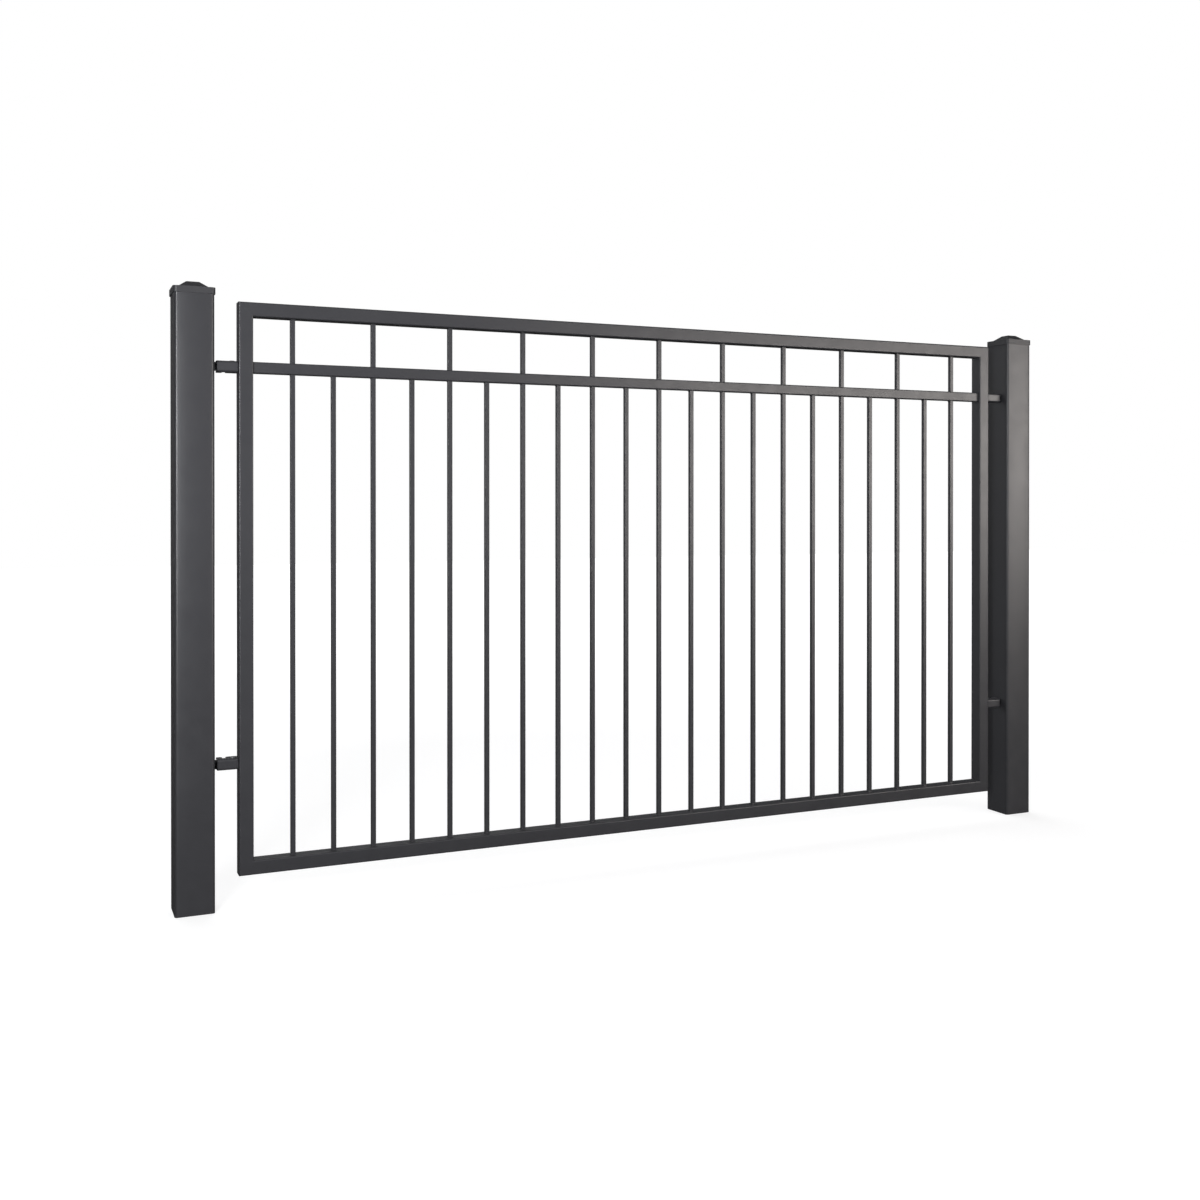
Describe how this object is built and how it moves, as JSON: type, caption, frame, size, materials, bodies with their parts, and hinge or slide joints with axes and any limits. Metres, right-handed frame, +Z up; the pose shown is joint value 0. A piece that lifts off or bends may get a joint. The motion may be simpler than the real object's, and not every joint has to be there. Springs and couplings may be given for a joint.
{
  "type": "fence panel",
  "caption": "Anthracite steel fence panel of square bars between two capped square posts, hung on bolted sheet brackets.",
  "frame": {"origin": "on the left post's foot face, on the post's axis, at ground level", "axes": "+X along the fence from the left post to the right one, +Y to the back of the fence, +Z up"},
  "size_m": [2.2345, 0.0844, 1.303],
  "materials": {
    "powder_coat": "satin powder coat on steel",
    "cap_plastic": "fine-grained moulded plastic"
  },
  "bodies": {
    "root": {"bottom_rail": "powder_coat", "left_lower_link": "powder_coat", "left_lower_post_ear": "powder_coat", "left_lower_stile_ear": "powder_coat", "left_post": "powder_coat", "left_post_cap": "cap_plastic", "left_stile": "powder_coat", "left_upper_link": "powder_coat", "left_upper_post_ear": "powder_coat", "left_upper_stile_ear": "powder_coat", "middle_rail": "powder_coat", "right_lower_link": "powder_coat", "right_lower_post_ear": "powder_coat", "right_lower_stile_ear": "powder_coat", "right_post": "powder_coat", "right_post_cap": "cap_plastic", "right_stile": "powder_coat", "right_upper_link": "powder_coat", "right_upper_post_ear": "powder_coat", "right_upper_stile_ear": "powder_coat", "short_bar_02": "powder_coat", "short_bar_04": "powder_coat", "short_bar_06": "powder_coat", "short_bar_08": "powder_coat", "short_bar_10": "powder_coat", "short_bar_12": "powder_coat", "short_bar_14": "powder_coat", "short_bar_16": "powder_coat", "short_bar_18": "powder_coat", "short_bar_20": "powder_coat", "tall_bar_01": "powder_coat", "tall_bar_03": "powder_coat", "tall_bar_05": "powder_coat", "tall_bar_07": "powder_coat", "tall_bar_09": "powder_coat", "tall_bar_11": "powder_coat", "tall_bar_13": "powder_coat", "tall_bar_15": "powder_coat", "tall_bar_17": "powder_coat", "tall_bar_19": "powder_coat", "tall_bar_21": "powder_coat", "top_rail": "powder_coat"}
  },
  "joints": []
}
